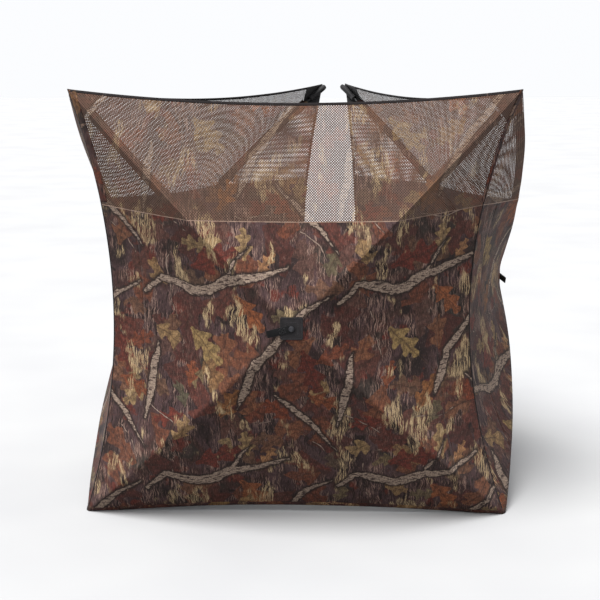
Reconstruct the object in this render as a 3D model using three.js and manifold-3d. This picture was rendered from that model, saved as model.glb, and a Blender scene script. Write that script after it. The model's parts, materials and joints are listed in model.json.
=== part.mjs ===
// A pop-up ground blind with three walls, in millimetres, +Z up, its front wall facing -Y.
//
// Each wall is one stretched sheet, camouflage cloth below and see-through netting above. Four
// fibreglass poles lie in sleeves behind it, from its corners to a hub at its middle, and bow that
// hub outwards. The side walls share the front wall's end edges and swing on them, and the gap
// between their rear edges is the way in. The origin is on the ground, under the middle of the
// blind's box.
//
// Each wall is modelled in a frame of its own: X along the wall, +Z up and -Y outwards.

import * as THREE from "three";
import { mergeVertices } from "three/addons/utils/BufferGeometryUtils.js";
import Module from "manifold-3d";

const wasm = await Module();
wasm.setup();

// Driving dimensions.
const WALL_HEIGHT = 1490;
const HALF_WIDTH = 752; // from a wall's middle to the line that it swings on
const CORNER_FLARE = 12; // how much further out the top corners stand than the bottom ones, halved
const LEFT_CORNER_ANGLE = THREE.MathUtils.degToRad(56.6); // between the front and left walls
const RIGHT_CORNER_ANGLE = THREE.MathUtils.degToRad(67.8); // between the front and right walls
const LEFT_EDGE_PULL = 131; // how far tension draws the middle of each upright edge in
const RIGHT_EDGE_PULL = 170;
const REAR_EDGE_PULL = 130;
const TOP_EDGE_DIP = 46;
const BOTTOM_EDGE_RISE = 34;
const HUB_HEIGHT = 741;
const HUB_REACH = 345; // from the wall's plane out to the sheet at the hub
const POLE_BOW = 45; // how far the middle of a pole bows out from a straight line
const SLACK_SHARE = 0.45; // the share of that bow that the sheet keeps halfway between two poles

const SHEET_THICKNESS = 2;
const SHEET_TRIM = 4; // keeps neighbouring walls' sheets apart along their shared edge
const BEYOND = 2000; // reach of the blocks that cut the sheets, past every part of the blind
const SEAM_END_HEIGHT = 1106; // the seam between cloth and netting, at the wall's ends
const SEAM_SAG = 37;
const SEAM_GAP = 0.8;

const POLE_RADIUS = 4.25;
const POLE_CORNER_GAP = 14; // from the point where a corner's poles would meet to a pole's tip
const SHARED_CORNER_INSET = 24; // from a shared corner in to the point where its poles would meet
const FREE_CORNER_INSET = 16;
const CORNER_CLEARANCE = 15; // how far that point is below the top corner or above the bottom one
const SLEEVE_INNER_RADIUS = 6.2;
const SLEEVE_OUTER_RADIUS = 7.4;
const SLEEVE_START = 0.075; // share of the pole's length
const SLEEVE_END = 0.94;

const POCKET_RADIUS = 12;
const POCKET_LENGTH = 62;
const POCKET_BORE_RADIUS = 6;
const CUT_GAP = 0.5;
const FOOT_LEVEL = 6; // the lower pockets are flat underneath at this height, and stand on it
const SHEET_LOW_LEVEL = 9; // the cloth's corners end this high, just clear of the ground

const HUB_FLAT = 40; // half the side of the flat square in the middle of the sheet
const HUB_BODY_RADIUS = 40;
const HUB_BODY_DEPTH = 27;
const HUB_SLOT_WIDTH = 10.4;
const HUB_SLOT_TOP = 7; // from the hub body's outer face to its slots
const RING_RADIUS = 26;
const RING_WIRE_RADIUS = 1.5;
const RING_DEPTH = 17; // from the sheet in to the pivot ring
const RING_CLEARANCE = 0.7;
const POLE_END_RADIUS = 20; // from the hub's axis to the pole's inner end
const CAP_THICKNESS = 4;
const BOLT_RADIUS = 3;
const BOLT_CLEARANCE = 0.5;
const PATCH_SIDE = 82;
const PATCH_THICKNESS = 1.4;
const STRAP_LENGTH = 92;
const STRAP_WIDTH = 22;
const STRAP_THICKNESS = 3;
const STRAP_DROOP = THREE.MathUtils.degToRad(14); // below level, towards the wall's left
const STACK_GAP = 0.4; // between pieces clamped on each other

const camo = (name) => new THREE.MeshStandardMaterial({ name, color: 0x4f3a30, roughness: 0.85 });
const material = {
  cloth: camo("camouflage_cloth"),
  netting: new THREE.MeshStandardMaterial({ name: "netting", color: 0x94786a, roughness: 0.8 }),
  sleeve: camo("sleeve_cloth"),
  pocket: new THREE.MeshStandardMaterial({ name: "pocket", color: 0x17151a, roughness: 0.8 }),
  pole: new THREE.MeshStandardMaterial({ name: "fibreglass", color: 0x1b1b1d, roughness: 0.35 }),
  hub: new THREE.MeshStandardMaterial({ name: "hub_plastic", color: 0x141416, roughness: 0.5 }),
  steel: new THREE.MeshStandardMaterial({ name: "steel", color: 0x8f9296, roughness: 0.35, metalness: 1 }),
  webbing: new THREE.MeshStandardMaterial({ name: "webbing", color: 0x101012, roughness: 0.9 }),
};

// Solids from and to three.js geometries.

function solidOf(geometry) {
  const bare = new THREE.BufferGeometry();
  const flat = geometry.index ? geometry.toNonIndexed() : geometry;
  bare.setAttribute("position", flat.getAttribute("position"));
  const merged = mergeVertices(bare, 1e-3);
  return new wasm.Manifold(
    new wasm.Mesh({
      numProp: 3,
      vertProperties: merged.attributes.position.array,
      triVerts: new Uint32Array(merged.index.array),
    }),
  );
}

function geometryOf(solid) {
  const { numProp, vertProperties, triVerts } = solid.getMesh();
  const positions = new Float32Array(triVerts.length * 3);
  triVerts.forEach((vertex, i) => {
    for (let k = 0; k < 3; k++) positions[3 * i + k] = vertProperties[vertex * numProp + k];
  });
  const geometry = new THREE.BufferGeometry();
  geometry.setAttribute("position", new THREE.BufferAttribute(positions, 3));
  geometry.computeVertexNormals();
  return geometry;
}

function largestBody(solid) {
  return solid.decompose().reduce((best, body) => (body.volume() > best.volume() ? body : best));
}

function cylinder(radius, length, segments = 20) {
  return new THREE.CylinderGeometry(radius, radius, length, segments);
}

function lathe(profile, segments = 24) {
  const points = profile.map(([radius, along]) => new THREE.Vector2(radius, along));
  return new THREE.LatheGeometry(points, segments);
}

function addMesh(parent, name, geometry, itsMaterial) {
  const mesh = new THREE.Mesh(geometry, itsMaterial);
  mesh.name = name;
  parent.add(mesh);
  return mesh;
}

// Walls. `half` is half the angle of the corner at that end of the wall: tension draws the edge in
// along the line that halves the corner. A free edge is drawn in along the wall itself.

const leftSide = { half: LEFT_CORNER_ANGLE / 2, pull: LEFT_EDGE_PULL, shared: true };
const rightSide = { half: RIGHT_CORNER_ANGLE / 2, pull: RIGHT_EDGE_PULL, shared: true };
const rearSide = { half: 0, pull: REAR_EDGE_PULL, shared: false };

const leftDirection = LEFT_CORNER_ANGLE;
const rightDirection = Math.PI - RIGHT_CORNER_ANGLE;

const walls = [
  { name: "front", left: leftSide, right: rightSide, x: 0, y: 0, turn: 0 },
  {
    name: "left",
    left: rearSide,
    right: leftSide,
    x: -HALF_WIDTH + HALF_WIDTH * Math.cos(leftDirection),
    y: HALF_WIDTH * Math.sin(leftDirection),
    turn: leftDirection + Math.PI,
  },
  {
    name: "right",
    left: rightSide,
    right: rearSide,
    x: HALF_WIDTH + HALF_WIDTH * Math.cos(rightDirection),
    y: HALF_WIDTH * Math.sin(rightDirection),
    turn: rightDirection,
  },
];

function edgePoint(wall, end, height) {
  const side = end < 0 ? wall.left : wall.right;
  const level = (2 * height) / WALL_HEIGHT - 1;
  const pull = side.pull * (1 - level * level) - CORNER_FLARE * level;
  const along = HALF_WIDTH - SHEET_TRIM - pull * Math.cos(side.half);
  return new THREE.Vector3(end * along, pull * Math.sin(side.half), height);
}

function hemPoint(wall, share, height, shift) {
  const from = edgePoint(wall, -1, height);
  const to = edgePoint(wall, 1, height);
  const point = from.lerp(to, share);
  point.z += shift * 4 * share * (1 - share);
  return point;
}

// A point of the wall's outline: side 0 is the bottom, then the right end, the top and the left end.
function outlinePoint(wall, side, share) {
  if (side === 0) return hemPoint(wall, share, 0, BOTTOM_EDGE_RISE);
  if (side === 1) return edgePoint(wall, 1, share * WALL_HEIGHT);
  if (side === 2) return hemPoint(wall, 1 - share, WALL_HEIGHT, -TOP_EDGE_DIP);
  return edgePoint(wall, -1, (1 - share) * WALL_HEIGHT);
}

const flatCorners = [
  [-1, -1],
  [1, -1],
  [1, 1],
  [-1, 1],
].map(([x, z]) => new THREE.Vector3(x * HUB_FLAT, -HUB_REACH, HUB_HEIGHT + z * HUB_FLAT));

// A point of the sheet: `inward` runs from 0 at the outline to 1 at the hub's flat square.
function sheetPoint(wall, side, share, inward) {
  const inner = flatCorners[side].clone().lerp(flatCorners[(side + 1) % 4], share);
  const point = outlinePoint(wall, side, share).lerp(inner, inward);
  const nearPole = (2 * share - 1) ** 2;
  const kept = SLACK_SHARE + (1 - SLACK_SHARE) * nearPole;
  point.y -= POLE_BOW * kept * 4 * inward * (1 - inward);
  return point;
}

// The whole sheet of a wall as one thin closed solid: rings of points from its outline in to the
// hub, on its outer face and again on its inner face.
function sheetSolid(wall) {
  const perSide = 8;
  const rings = 6;
  const around = 4 * perSide;
  const positions = [];
  for (const layer of [-0.5, 0.5]) {
    for (let ring = 0; ring < rings; ring++) {
      for (let i = 0; i < around; i++) {
        const side = Math.floor(i / perSide);
        const point = sheetPoint(wall, side, (i % perSide) / perSide, ring / (rings - 1));
        positions.push(point.x, point.y + layer * SHEET_THICKNESS, point.z);
      }
    }
    positions.push(0, -HUB_REACH + layer * SHEET_THICKNESS, HUB_HEIGHT);
  }
  const layerSize = rings * around + 1;
  const index = [];
  const quad = (a, b, c, d) => index.push(a, b, c, a, c, d);
  for (let i = 0; i < around; i++) {
    const next = (i + 1) % around;
    for (let ring = 0; ring < rings - 1; ring++) {
      const outer = ring * around;
      const inner = outer + around;
      quad(outer + i, outer + next, inner + next, inner + i);
      // The same two triangles on the inner face, turned over, so that the faces stay parallel.
      const back = [outer + i, inner + i, inner + next, outer + next];
      quad(...back.map((vertex) => vertex + layerSize));
    }
    const last = (rings - 1) * around;
    index.push(last + i, last + next, rings * around);
    index.push(layerSize + last + next, layerSize + last + i, layerSize + rings * around);
    quad(next, i, layerSize + i, layerSize + next);
  }
  const geometry = new THREE.BufferGeometry();
  geometry.setAttribute("position", new THREE.Float32BufferAttribute(positions, 3));
  geometry.setIndex(index);
  return solidOf(geometry);
}

// Everything above or below the seam, as a block across the wall.
function seamBlock(above) {
  const reach = BEYOND / 2;
  const samples = 16;
  const offset = (above ? SEAM_GAP : -SEAM_GAP) / 2;
  const shape = new THREE.Shape();
  for (let i = 0; i <= samples; i++) {
    const x = -reach + (2 * reach * i) / samples;
    const sag = SEAM_SAG * Math.max(0, 1 - (x / HALF_WIDTH) ** 2);
    const y = SEAM_END_HEIGHT - sag + offset;
    if (i === 0) shape.moveTo(x, y);
    else shape.lineTo(x, y);
  }
  const far = above ? WALL_HEIGHT + reach : -reach;
  shape.lineTo(reach, far);
  shape.lineTo(-reach, far);
  const block = new THREE.ExtrudeGeometry(shape, { depth: 2 * reach, bevelEnabled: false });
  block.rotateX(Math.PI / 2);
  block.translate(0, reach, 0);
  return solidOf(block);
}

// Everything below a level, as a block.
function groundBlock(level) {
  return solidOf(new THREE.BoxGeometry(2 * BEYOND, 2 * BEYOND, 2 * BEYOND).translate(0, 0, level - BEYOND));
}

// Poles. Corners are numbered as the outline's sides start: bottom left, bottom right, top right,
// top left, seen from outside.

const corners = [
  { name: "lower_left", end: -1, top: false },
  { name: "lower_right", end: 1, top: false },
  { name: "upper_right", end: 1, top: true },
  { name: "upper_left", end: -1, top: true },
];

// Where the poles of a corner would meet.
function poleRoot(wall, corner) {
  const side = corner.end < 0 ? wall.left : wall.right;
  const point = edgePoint(wall, corner.end, corner.top ? WALL_HEIGHT : 0);
  const half = side.shared ? side.half : Math.PI / 4;
  const inset = side.shared ? SHARED_CORNER_INSET : FREE_CORNER_INSET;
  point.x -= corner.end * (inset * Math.cos(half) - SHEET_TRIM);
  point.y += inset * Math.sin(half);
  point.z += corner.top ? -CORNER_CLEARANCE : CORNER_CLEARANCE;
  return point;
}

function poleCurve(wall, corner) {
  const root = poleRoot(wall, corner);
  const hub = new THREE.Vector3(0, -HUB_REACH + RING_DEPTH, HUB_HEIGHT);
  const sideways = new THREE.Vector3(root.x, 0, root.z - HUB_HEIGHT).normalize();
  const end = hub.clone().addScaledVector(sideways, POLE_END_RADIUS);
  const start = root.clone();
  start.addScaledVector(end.clone().sub(root).normalize(), POLE_CORNER_GAP);
  const control = start.clone().lerp(end, 0.5);
  control.y -= 2 * POLE_BOW;
  return new THREE.QuadraticBezierCurve3(start, control, end);
}

// A stretch of another curve, from one share of its length to another.
class Stretch extends THREE.Curve {
  constructor(whole, from, to) {
    super();
    this.whole = whole;
    this.from = from;
    this.to = to;
  }
  getPoint(share) {
    return this.whole.getPoint(THREE.MathUtils.lerp(this.from, this.to, share));
  }
}

function circle(radius) {
  return new THREE.Path().absarc(0, 0, radius, 0, 2 * Math.PI);
}

// The hole near a pole's inner end that the hub's pivot ring runs through.
function eyeHole(corner, wall) {
  const root = poleRoot(wall, corner);
  const sideways = new THREE.Vector3(root.x, 0, root.z - HUB_HEIGHT).normalize();
  const hole = cylinder(RING_WIRE_RADIUS + RING_CLEARANCE, 6 * POLE_RADIUS, 10);
  const across = new THREE.Vector3(-sideways.z, 0, sideways.x);
  hole.applyQuaternion(new THREE.Quaternion().setFromUnitVectors(THREE.Object3D.DEFAULT_UP, across));
  const centre = sideways.multiplyScalar(RING_RADIUS);
  hole.translate(centre.x, -HUB_REACH + RING_DEPTH, HUB_HEIGHT + centre.z);
  return solidOf(hole);
}

function poleGeometry(wall, corner) {
  const shape = new THREE.Shape();
  shape.absarc(0, 0, POLE_RADIUS, 0, 2 * Math.PI);
  const rod = new THREE.ExtrudeGeometry(shape, {
    extrudePath: poleCurve(wall, corner),
    steps: 10,
    curveSegments: 4,
    bevelEnabled: false,
  });
  return geometryOf(solidOf(rod).subtract(eyeHole(corner, wall)));
}

function sleeveGeometry(wall, corner) {
  const shape = new THREE.Shape();
  shape.absarc(0, 0, SLEEVE_OUTER_RADIUS, 0, 2 * Math.PI);
  shape.holes.push(circle(SLEEVE_INNER_RADIUS));
  const curve = new Stretch(poleCurve(wall, corner), SLEEVE_START, SLEEVE_END);
  return new THREE.ExtrudeGeometry(shape, {
    extrudePath: curve,
    steps: 8,
    curveSegments: 3,
    bevelEnabled: false,
  });
}

// Corner pockets: one cup over each pole tip, and the cups of a shared corner joined as one. A cup
// is turned about its own Y axis, which runs along the pole from Y = 0 at the pole's tip.

function placeOnPole(geometry, wallMatrix, wall, corner) {
  const curve = poleCurve(wall, corner);
  const tip = curve.getPoint(0);
  const along = curve.getTangent(POCKET_LENGTH / 2 / curve.getLength());
  geometry.applyQuaternion(new THREE.Quaternion().setFromUnitVectors(THREE.Object3D.DEFAULT_UP, along));
  geometry.translate(tip.x, tip.y, tip.z);
  geometry.applyMatrix4(wallMatrix);
  return solidOf(geometry);
}

function cup(wallMatrix, wall, corner, grow) {
  const radius = POCKET_RADIUS + grow;
  const base = -POLE_CORNER_GAP;
  const outer = [
    [0, base - radius],
    [0.7 * radius, base - 0.72 * radius],
    [radius, base],
    [radius, POCKET_LENGTH + grow],
    [0, POCKET_LENGTH + grow],
  ];
  return placeOnPole(lathe(outer, 12), wallMatrix, wall, corner);
}

function cupBore(wallMatrix, wall, corner) {
  const bore = [
    [0, -2],
    [POCKET_BORE_RADIUS, -2],
    [POCKET_BORE_RADIUS, POCKET_LENGTH + 5],
    [0, POCKET_LENGTH + 5],
  ];
  return placeOnPole(lathe(bore, 8), wallMatrix, wall, corner);
}

// The hub and what is clamped on it. Its own frame has Z along the hub's axis, pointing outwards,
// Y up, and its origin on the middle of the sheet. Levels are measured along that axis.

const sheetFace = SHEET_THICKNESS / 2 + STACK_GAP;
const patchTop = sheetFace + PATCH_THICKNESS;
const strapTop = patchTop + STACK_GAP + STRAP_THICKNESS;
const bodyTop = -sheetFace;
const bodyBottom = bodyTop - HUB_BODY_DEPTH;
const capTop = bodyBottom - STACK_GAP;
const capBottom = capTop - CAP_THICKNESS;

// A solid of revolution about the hub's axis, from [radius, level] pairs.
function turned(profile, segments = 24) {
  return lathe(profile, segments).rotateX(Math.PI / 2);
}

function ringGeometry(wireRadius) {
  return new THREE.TorusGeometry(RING_RADIUS, wireRadius, 6, 24).translate(0, 0, -RING_DEPTH);
}

function boltHole() {
  const deep = 4 * HUB_BODY_DEPTH;
  return solidOf(cylinder(BOLT_RADIUS + BOLT_CLEARANCE, deep, 16).rotateX(Math.PI / 2));
}

// A flanged drum with a slot for each pole, open to the inside, and a channel for the pivot ring.
function hubBody(wall) {
  const drum = HUB_BODY_RADIUS - 4;
  const profile = [
    [0, bodyBottom],
    [drum - 1.5, bodyBottom],
    [drum, bodyBottom + 2],
    [drum, bodyTop - 5],
    [HUB_BODY_RADIUS, bodyTop - 4],
    [HUB_BODY_RADIUS, bodyTop - 1],
    [HUB_BODY_RADIUS - 1, bodyTop],
    [0, bodyTop],
  ];
  let solid = solidOf(turned(profile));
  const slotStart = POLE_END_RADIUS - 4;
  const slotMiddle = bodyTop - HUB_SLOT_TOP - HUB_BODY_DEPTH / 2;
  for (const corner of corners) {
    const root = poleRoot(wall, corner);
    const slot = new THREE.BoxGeometry(HUB_BODY_RADIUS, HUB_SLOT_WIDTH, HUB_BODY_DEPTH);
    slot.translate(slotStart + HUB_BODY_RADIUS / 2, 0, slotMiddle);
    slot.rotateZ(Math.atan2(root.z - HUB_HEIGHT, root.x));
    solid = solid.subtract(solidOf(slot));
  }
  solid = solid.subtract(solidOf(ringGeometry(RING_WIRE_RADIUS + RING_CLEARANCE)));
  return geometryOf(solid.subtract(boltHole()));
}

function hubCap() {
  const bore = BOLT_RADIUS + BOLT_CLEARANCE;
  return turned([
    [bore, capBottom],
    [22, capBottom],
    [33, capBottom + 1.5],
    [34, capTop],
    [bore, capTop],
    [bore, capBottom],
  ]);
}

function centreBolt() {
  const head = strapTop + STACK_GAP;
  const nut = capBottom - STACK_GAP;
  return turned([
    [0, nut - 5],
    [6, nut - 5],
    [6, nut],
    [BOLT_RADIUS, nut],
    [BOLT_RADIUS, head],
    [10, head],
    [9, head + 1.8],
    [5, head + 3],
    [0, head + 3.2],
  ]);
}

// A flat piece on the hub's face with a hole for the bolt.
function flatPiece(shape, thickness, top) {
  shape.holes.push(circle(BOLT_RADIUS + BOLT_CLEARANCE));
  const options = { depth: thickness, curveSegments: 5, bevelEnabled: false };
  return new THREE.ExtrudeGeometry(shape, options).translate(0, 0, top - thickness);
}

function hubPatch() {
  const reach = PATCH_SIDE / 2;
  const flat = reach - 5; // to where a rounded corner starts
  const shape = new THREE.Shape();
  shape.moveTo(-flat, -reach);
  shape.lineTo(flat, -reach);
  shape.quadraticCurveTo(reach, -reach, reach, -flat);
  shape.lineTo(reach, flat);
  shape.quadraticCurveTo(reach, reach, flat, reach);
  shape.lineTo(-flat, reach);
  shape.quadraticCurveTo(-reach, reach, -reach, flat);
  shape.lineTo(-reach, -flat);
  shape.quadraticCurveTo(-reach, -reach, -flat, -reach);
  return flatPiece(shape, PATCH_THICKNESS, patchTop);
}

function pullStrap() {
  const reach = STRAP_WIDTH / 2;
  const shape = new THREE.Shape();
  shape.absarc(0, 0, reach, -Math.PI / 2, Math.PI / 2);
  shape.absarc(reach - STRAP_LENGTH, 0, reach, Math.PI / 2, 1.5 * Math.PI);
  return flatPiece(shape, STRAP_THICKNESS, strapTop);
}

function addHub(wallGroup, wall) {
  const hub = new THREE.Group();
  hub.position.set(0, -HUB_REACH, HUB_HEIGHT);
  hub.rotation.x = Math.PI / 2;
  addMesh(hub, `${wall.name}_hub_body`, hubBody(wall), material.hub);
  addMesh(hub, `${wall.name}_pivot_ring`, ringGeometry(RING_WIRE_RADIUS), material.steel);
  addMesh(hub, `${wall.name}_hub_cap`, hubCap(), material.hub);
  addMesh(hub, `${wall.name}_hub_bolt`, centreBolt(), material.steel);
  addMesh(hub, `${wall.name}_hub_patch`, hubPatch(), material.webbing);
  const strap = addMesh(hub, `${wall.name}_pull_strap`, pullStrap(), material.webbing);
  strap.rotation.z = STRAP_DROOP;
  wallGroup.add(hub);
}

// The blind.

const blind = new THREE.Group();
const pockets = new Map();
const aboveSeam = seamBlock(true);
const belowSeam = seamBlock(false);

for (const wall of walls) {
  const group = new THREE.Group();
  group.position.set(wall.x, wall.y, 0);
  group.rotation.z = wall.turn;
  group.updateMatrix();
  blind.add(group);

  let sheet = sheetSolid(wall);
  for (const corner of corners) {
    sheet = sheet.subtract(cup(new THREE.Matrix4(), wall, corner, CUT_GAP));
    addMesh(group, `${wall.name}_${corner.name}_pole`, poleGeometry(wall, corner), material.pole);
    addMesh(group, `${wall.name}_${corner.name}_sleeve`, sleeveGeometry(wall, corner), material.sleeve);
  }
  const hole = cylinder(BOLT_RADIUS + BOLT_CLEARANCE, HUB_BODY_RADIUS, 16);
  hole.translate(0, -HUB_REACH, HUB_HEIGHT);
  sheet = largestBody(sheet.subtract(solidOf(hole)).subtract(groundBlock(SHEET_LOW_LEVEL)));
  addMesh(group, `${wall.name}_cloth`, geometryOf(sheet.intersect(belowSeam)), material.cloth);
  addMesh(group, `${wall.name}_netting`, geometryOf(sheet.intersect(aboveSeam)), material.netting);
  addHub(group, wall);

  for (const corner of corners) {
    const side = corner.end < 0 ? wall.left : wall.right;
    const place = side.shared ? `front_${side === leftSide ? "left" : "right"}` : `rear_${wall.name}`;
    const name = `${place}_${corner.top ? "upper" : "lower"}_pocket`;
    const cups = pockets.get(name) ?? [];
    cups.push([group.matrix, wall, corner]);
    pockets.set(name, cups);
  }
}

for (const [name, cups] of pockets) {
  let solid = cups.map((where) => cup(...where, 0)).reduce((whole, next) => whole.add(next));
  for (const where of cups) solid = solid.subtract(cupBore(...where));
  solid = solid.subtract(groundBlock(FOOT_LEVEL));
  addMesh(blind, name, geometryOf(solid), material.pocket);
}

blind.updateMatrixWorld(true);
const box = new THREE.Box3().setFromObject(blind, true);
const middle = box.getCenter(new THREE.Vector3());
blind.position.set(-middle.x, -middle.y, -box.min.z);

export default blind;
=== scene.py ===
"""Looks of a pop-up ground blind: three hub-tensioned walls of printed cloth and netting.

Everything is in metres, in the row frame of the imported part. A wall's own coordinates are u along
the wall, v up from the ground line and y through it, with -y outwards, as in the CAD source.
"""

import json
import math

import bpy
import numpy as np
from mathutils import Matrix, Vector


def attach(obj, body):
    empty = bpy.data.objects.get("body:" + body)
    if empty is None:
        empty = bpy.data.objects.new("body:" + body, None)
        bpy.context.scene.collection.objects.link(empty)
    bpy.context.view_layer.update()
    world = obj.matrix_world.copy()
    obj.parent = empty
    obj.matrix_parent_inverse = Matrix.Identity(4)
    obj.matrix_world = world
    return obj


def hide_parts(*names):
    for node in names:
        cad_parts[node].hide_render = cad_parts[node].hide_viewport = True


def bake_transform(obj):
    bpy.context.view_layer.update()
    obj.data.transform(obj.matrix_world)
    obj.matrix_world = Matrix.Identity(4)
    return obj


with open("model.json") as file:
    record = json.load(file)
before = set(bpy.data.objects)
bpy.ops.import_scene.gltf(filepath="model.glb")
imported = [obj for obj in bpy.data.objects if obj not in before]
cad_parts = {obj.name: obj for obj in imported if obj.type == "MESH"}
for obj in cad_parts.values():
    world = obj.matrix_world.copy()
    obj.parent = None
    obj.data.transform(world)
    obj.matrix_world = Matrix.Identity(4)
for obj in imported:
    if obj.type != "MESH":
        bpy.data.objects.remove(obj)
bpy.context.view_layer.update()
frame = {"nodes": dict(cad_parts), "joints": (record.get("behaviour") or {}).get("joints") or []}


# ---- driving dimensions, as in the CAD
HEIGHT = 1.49
FLARE = 0.012  # how far the top corners stand past the swing lines, and the bottom ones short of them
LEFT_CORNER, RIGHT_CORNER = math.radians(56.6), math.radians(67.8)  # between front and side walls
LEFT_PULL, RIGHT_PULL, REAR_PULL = 0.131, 0.170, 0.130  # how far tension draws an edge in
TOP_DIP, BOTTOM_RISE = 0.046, 0.034
HUB_Z, HUB_REACH = 0.741, 0.345
BOW, SLACK = 0.045, 0.45  # bow of the creases, and the share of it left half way between them
FLAT = 0.040  # half the width of the flat square over a hub
SEAM_Z, SEAM_SAG = 1.106, 0.037
LOW = 0.009  # the cloth's corners end this high
LIFT = -0.006  # of the wall's ground line in the row frame
POLE_RADIUS = 0.00425
POLE_GAP, POLE_END = 0.014, 0.020  # from a pole's root to its tip, and from the hub's middle to its eye
RING_DEPTH = 0.017  # of the ring that the eyes turn on, behind the sheet at the hub
SHARED_INSET, FREE_INSET, CLEARANCE = 0.024, 0.016, 0.015  # of a pole's root from a wall's corner

# ---- dimensions of the cloth and its trim
CLOTH_THICKNESS = 0.0008
CELL = 0.012  # of the cloth's mesh
NET_PITCH, NET_HOLE = 0.0060, 0.0031
GUSSET = 0.12  # width, in each wall, of the strip that bends over a shared corner
EDGE_STRIPS = {"left_corner": 0.027, "right_corner": 0.010}  # printed tape over the netting's end
EDGE_STRIP_LIFT, EDGE_STRIP_SHIFT = 0.0014, 0.13  # off the netting, and of its print
BINDING_WIDTH, BINDING_THICKNESS, HEM_WIDTH = 0.011, 0.0030, 0.018
EDGE_COVER = 0.4  # how far inside the sheet's edge the middle of a binding lies, in its own widths
SLEEVE_HALF, SLEEVE_RADIUS = 0.020, 0.0068  # half the tape's width, and the tunnel round the pole
SLEEVE_STITCH, SLEEVE_DEPTH = 0.0012, 0.0017  # width of the stitch line, and depth under the sheet
POCKET_RADIUS = 0.012
PIPING_RADIUS = 0.0022  # of the cord down a shared corner
SEAM_TAPE = 0.0028  # width of the light stitching between cloth and netting
PATCH_REACH = 0.115  # of the reinforcement in an upper corner, along both its edges
PATCH_LIFT = -0.0024  # which lies inside the netting
HUB_START = 0.50  # distance from the wall's middle at which hub_blend's blend towards the hub would start; nothing applies it
BILLOW, RIPPLE, PUCKER = 0.0022, 0.0012, 0.0011  # how far the sheet swells, ripples and puckers
CORNER_PRINT_SHIFT = 0.21
LEAST_AREA = 0.301  # least share of its length times width that declare takes a sheet to cover
HALVINGS = 32  # in the search for a place on the sheet

joints = {j["name"]: j for j in frame["joints"]}
left_hinge = Vector(joints["left_wall_swing"]["pos_m"])
right_hinge = Vector(joints["right_wall_swing"]["pos_m"])
HALF = (right_hinge.x - left_hinge.x) / 2


class Side:
    """One end of a wall: half its corner's angle, and how far tension draws the edge in."""

    def __init__(self, half, pull, shared):
        self.half, self.pull, self.shared = half, pull, shared

    def drawn(self, v):
        level = 2 * v / HEIGHT - 1
        return self.pull * (1 - level**2) - FLARE * level

    def reach(self, v):
        return HALF - self.drawn(v) * math.cos(self.half)

    def depth(self, v):
        return self.drawn(v) * math.sin(self.half)


LEFT_SIDE = Side(LEFT_CORNER / 2, LEFT_PULL, True)
RIGHT_SIDE = Side(RIGHT_CORNER / 2, RIGHT_PULL, True)
REAR_SIDE = Side(0, REAR_PULL, False)
CORNERS = {"lower_left": (-1, -1), "lower_right": (1, -1), "upper_right": (1, 1), "upper_left": (-1, 1)}


def share_where(level, target):
    """The share, 0 to 1 and a little over, at which the rising level(share) reaches target."""
    low, high = np.full(target.shape, -0.05), np.full(target.shape, 1.05)
    for _ in range(HALVINGS):
        s = (low + high) / 2
        below = level(s) < target
        low, high = np.where(below, s, low), np.where(below, high, s)
    return s


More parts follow.
